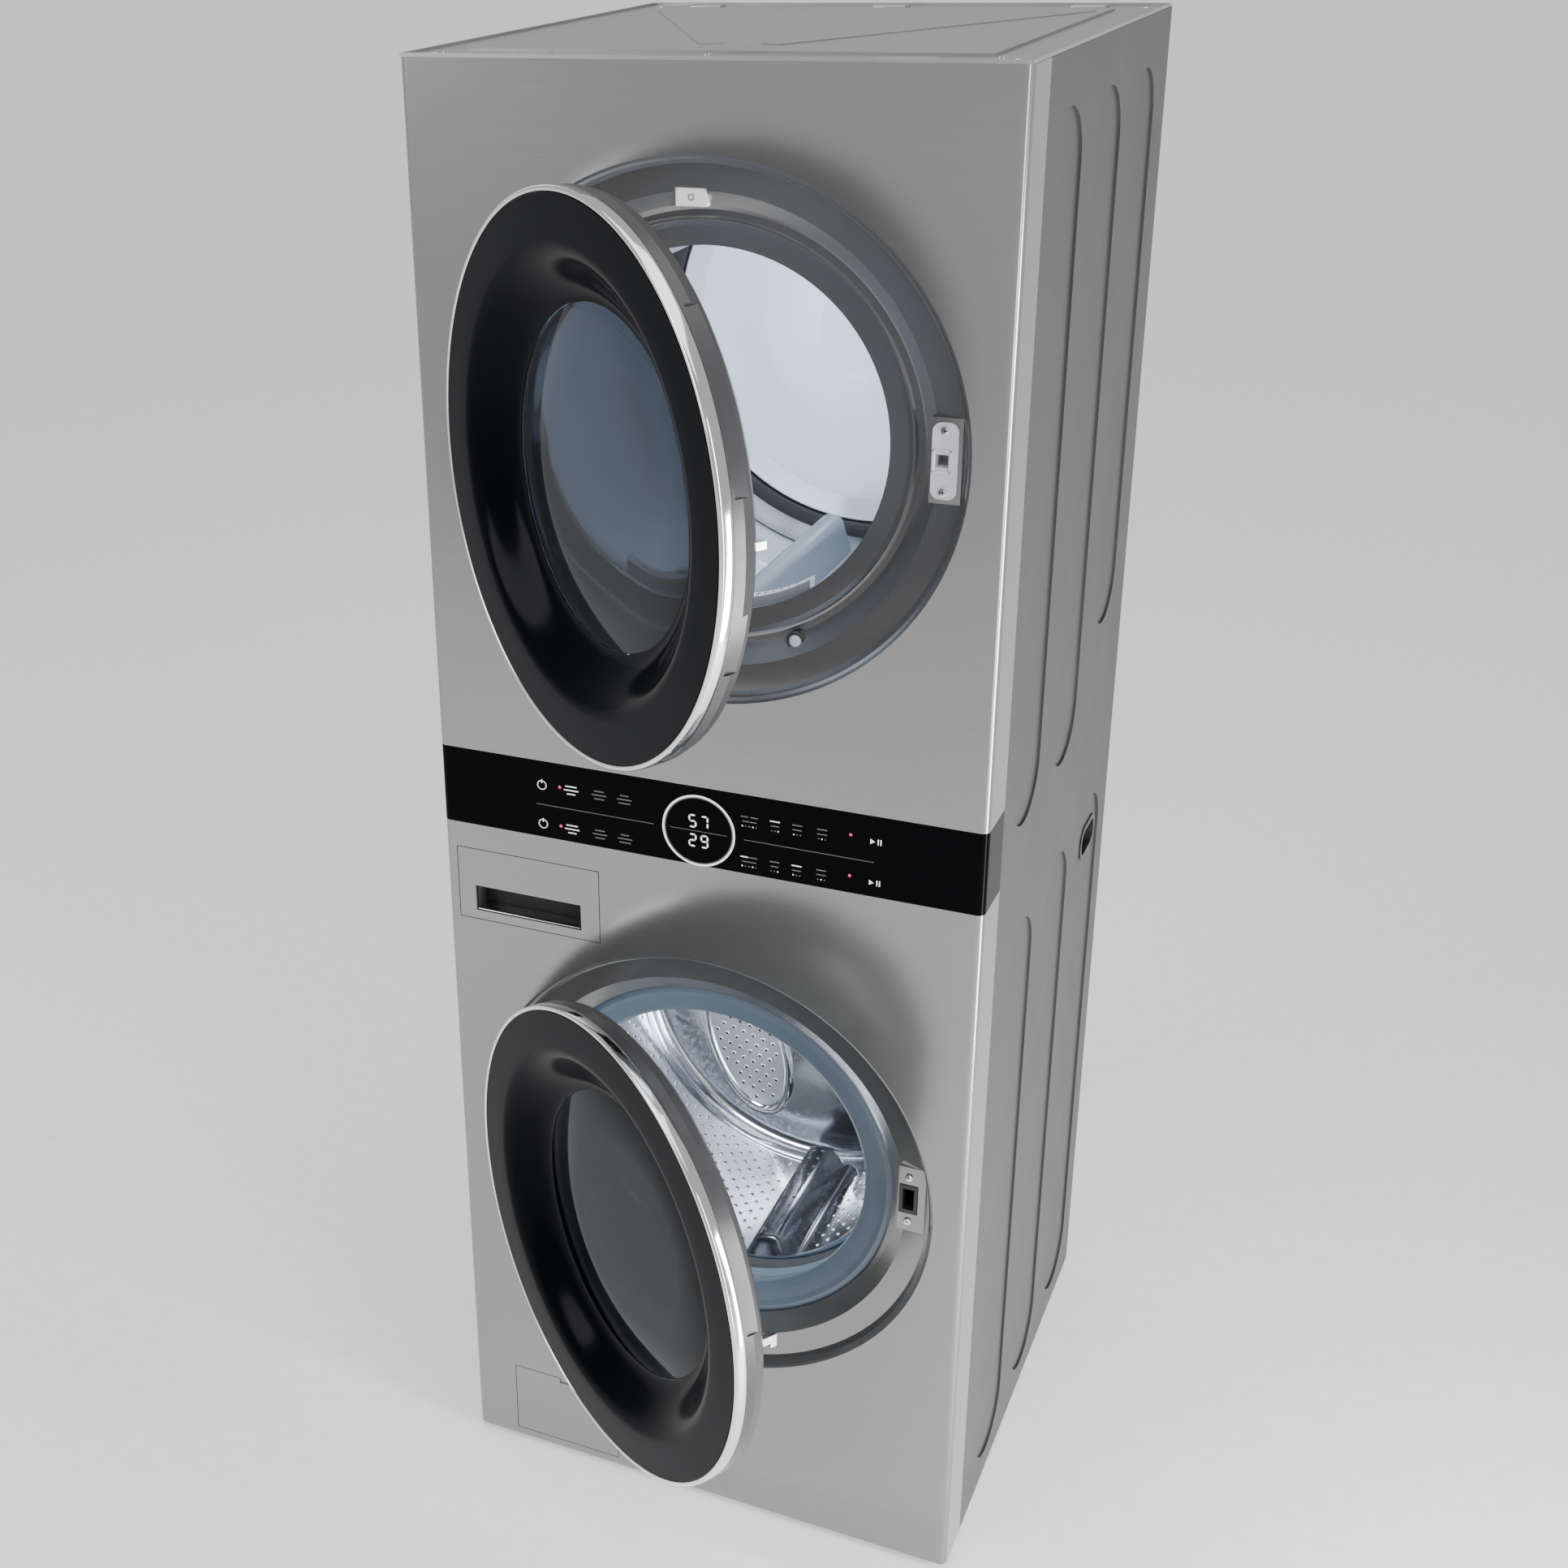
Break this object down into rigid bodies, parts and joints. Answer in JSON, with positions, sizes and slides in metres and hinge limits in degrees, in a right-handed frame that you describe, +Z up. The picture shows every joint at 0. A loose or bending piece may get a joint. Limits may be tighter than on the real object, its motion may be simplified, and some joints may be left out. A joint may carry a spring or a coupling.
{
  "type": "washer dryer stack",
  "caption": "One-piece laundry tower: front-load washer under a dryer, with hinged round doors, drums, detergent drawer, drain hatch and levelling feet.",
  "frame": {"origin": "middle of the whole object's box at floor level", "axes": "+Z up, -Y out of the doors, +X to the right seen from the front"},
  "size_m": [0.686, 1.109, 1.889],
  "materials": {
    "front_steel": "horizontally brushed graphite stainless",
    "side_paint": "satin dark grey paint",
    "top_steel": "light grey coated steel",
    "galvanised": "galvanised steel",
    "frame_steel": "dark coated steel",
    "band_black": "gloss black",
    "board_green": "circuit board",
    "black_plastic": "black moulded",
    "pale_plastic": "pale moulded",
    "lamp_lens": "frosted lens",
    "motor_metal": "cast motor shell",
    "duct_plastic": "grey moulded",
    "belt_rubber": "ribbed rubber",
    "gasket_rubber": "blue-grey rubber",
    "damper_plastic": "dark moulded",
    "spring_steel": "coated spring steel",
    "rod_steel": "polished rod",
    "screw_steel": "bright plated",
    "hinge_steel": "zinc plated",
    "tub_plastic": "off-white moulded",
    "weight_iron": "raw cast",
    "copper_winding": "enamelled copper",
    "drum_steel": "bright stainless",
    "lifter_dark": "dark chromed plastic",
    "rotor_metal": "pressed steel",
    "dryer_drum_steel": "pale coated steel",
    "baffle_plastic": "grey-blue moulded",
    "roller_rubber": "hard rubber",
    "filter_plastic": "grey moulded mesh frame",
    "door_glass": "black tinted glass",
    "door_chrome": "bright chrome",
    "door_grey": "dark grey moulded",
    "window_glass": "clear grey glass",
    "bowl_glass": "greenish clear glass",
    "drawer_grey": "steel-look plastic",
    "tray_plastic": "pale moulded",
    "foot_black": "black"
  },
  "bodies": {
    "root": {"base_frame": "frame_steel", "washer_cabinet": "side_paint", "dryer_cabinet": "side_paint", "top_cover": "top_steel", "washer_front_panel": "front_steel", "dryer_front_panel": "front_steel", "control_panel": "band_black", "control_board": "board_green", "rear_covers": "galvanised", "dryer_base_pan": "galvanised", "side_handles": "black_plastic", "washer_door_lock": "black_plastic", "dryer_latch_plate": "pale_plastic", "drum_lamp_window": "lamp_lens", "front_bulkhead": "duct_plastic", "rear_bulkhead": "galvanised", "dryer_motor": "motor_metal", "blower_duct": "duct_plastic", "drum_belt": "belt_rubber", "dispenser_housing": "duct_plastic", "inlet_valves": "pale_plastic", "drain_pump": "damper_plastic", "gasket": "gasket_rubber", "suspension_springs": "spring_steel", "damper_cylinders": "damper_plastic", "hinge_brackets": "hinge_steel", "case_screws": "screw_steel"},
    "tub": {"tub_rear": "tub_plastic", "tub_front": "tub_plastic", "counterweights": "weight_iron", "motor_stator": "copper_winding", "damper_rods": "rod_steel"},
    "washer_drum": {"washer_drum": "drum_steel", "drum_lifters": "lifter_dark", "motor_rotor": "rotor_metal"},
    "dryer_drum": {"dryer_drum": "dryer_drum_steel", "drum_baffles": "baffle_plastic"},
    "roller_left": {"roller_left": "roller_rubber"},
    "roller_right": {"roller_right": "roller_rubber"},
    "blower_wheel": {"blower_wheel": "duct_plastic"},
    "lint_filter": {"lint_filter": "filter_plastic"},
    "dryer_door": {"dryer_door_glass": "door_glass", "dryer_door_trim": "door_chrome", "dryer_door_frame": "door_grey", "dryer_door_window": "window_glass", "dryer_door_fittings": "hinge_steel"},
    "washer_door": {"washer_door_glass": "door_glass", "washer_door_trim": "door_chrome", "washer_door_frame": "door_grey", "washer_door_bowl": "bowl_glass", "washer_door_hinge": "hinge_steel"},
    "washer_door_hook": {"washer_door_hook": "door_chrome"},
    "drawer": {"drawer_front": "drawer_grey", "drawer_tray": "tray_plastic"},
    "drain_hatch": {"drain_hatch": "drawer_grey"},
    "drain_filter_cap": {"drain_filter_cap": "pale_plastic"},
    "foot_front_left": {"foot_front_left": "foot_black"},
    "foot_front_right": {"foot_front_right": "foot_black"},
    "foot_back_left": {"foot_back_left": "foot_black"},
    "foot_back_right": {"foot_back_right": "foot_black"}
  },
  "joints": [
    {"name": "tub_bounce", "type": "slide", "parent": "root", "child": "tub", "axis": [0, 0, 1], "range_m": [-0.01, 0.01], "stiffness_N_per_m": 12000, "springref_m": 0.04038, "deforming": ["suspension_springs", "gasket"]},
    {"name": "washer_drum_spin", "type": "hinge", "parent": "tub", "child": "washer_drum", "pos_m": [0, 0.1208, 0.544], "axis": [0, 1, 0], "continuous": true},
    {"name": "dryer_drum_spin", "type": "hinge", "parent": "root", "child": "dryer_drum", "pos_m": [0, 0.1208, 1.49], "axis": [0, 1, 0], "continuous": true},
    {"name": "roller_left_spin", "type": "hinge", "parent": "root", "child": "roller_left", "pos_m": [-0.20207, 0.39481, 1.20141], "axis": [0, 1, 0], "continuous": true},
    {"name": "roller_right_spin", "type": "hinge", "parent": "root", "child": "roller_right", "pos_m": [0.20207, 0.39481, 1.20141], "axis": [0, 1, 0], "continuous": true},
    {"name": "blower_spin", "type": "hinge", "parent": "root", "child": "blower_wheel", "pos_m": [0.04, 0.07081, 1.065], "axis": [0, 1, 0], "continuous": true},
    {"name": "lint_filter_slide", "type": "slide", "parent": "root", "child": "lint_filter", "axis": [0, 0, 1], "range_m": [0, 0.12]},
    {"name": "dryer_door_hinge", "type": "hinge", "parent": "root", "child": "dryer_door", "pos_m": [-0.268, -0.20519, 1.49], "axis": [0, 0, -1], "range_deg": [-37, 78]},
    {"name": "washer_door_hinge", "type": "hinge", "parent": "root", "child": "washer_door", "pos_m": [-0.268, -0.20519, 0.544], "axis": [0, 0, -1], "range_deg": [-35, 80]},
    {"name": "washer_hook_pivot", "type": "hinge", "parent": "washer_door", "child": "washer_door_hook", "pos_m": [0.18368, -0.49461, 0.564], "axis": [0.8192, -0.5736, 0], "range_deg": [0, 10], "stiffness_Nm_per_rad": 0.2},
    {"name": "drawer_slide", "type": "slide", "parent": "root", "child": "drawer", "axis": [0, -1, 0], "range_m": [0, 0.25]},
    {"name": "drain_hatch_hinge", "type": "hinge", "parent": "root", "child": "drain_hatch", "pos_m": [-0.2025, -0.17519, 0.031], "axis": [1, 0, 0], "range_deg": [0, 90]},
    {"name": "drain_filter_turn", "type": "hinge", "parent": "root", "child": "drain_filter_cap", "pos_m": [-0.2, -0.1292, 0.08], "axis": [0, 1, 0], "range_deg": [0, 120]},
    {"name": "foot_front_left_screw", "type": "slide", "parent": "root", "child": "foot_front_left", "axis": [0, 0, -1], "range_m": [0, 0.025]},
    {"name": "foot_front_right_screw", "type": "slide", "parent": "root", "child": "foot_front_right", "axis": [0, 0, -1], "range_m": [0, 0.025]},
    {"name": "foot_back_left_screw", "type": "slide", "parent": "root", "child": "foot_back_left", "axis": [0, 0, -1], "range_m": [0, 0.025]},
    {"name": "foot_back_right_screw", "type": "slide", "parent": "root", "child": "foot_back_right", "axis": [0, 0, -1], "range_m": [0, 0.025]}
  ],
  "couplings": [
    {"joint": "roller_left_spin", "follows": "dryer_drum_spin", "ratio": -10.733},
    {"joint": "roller_right_spin", "follows": "dryer_drum_spin", "ratio": -10.733},
    {"joint": "blower_spin", "follows": "dryer_drum_spin", "ratio": 16.1}
  ]
}
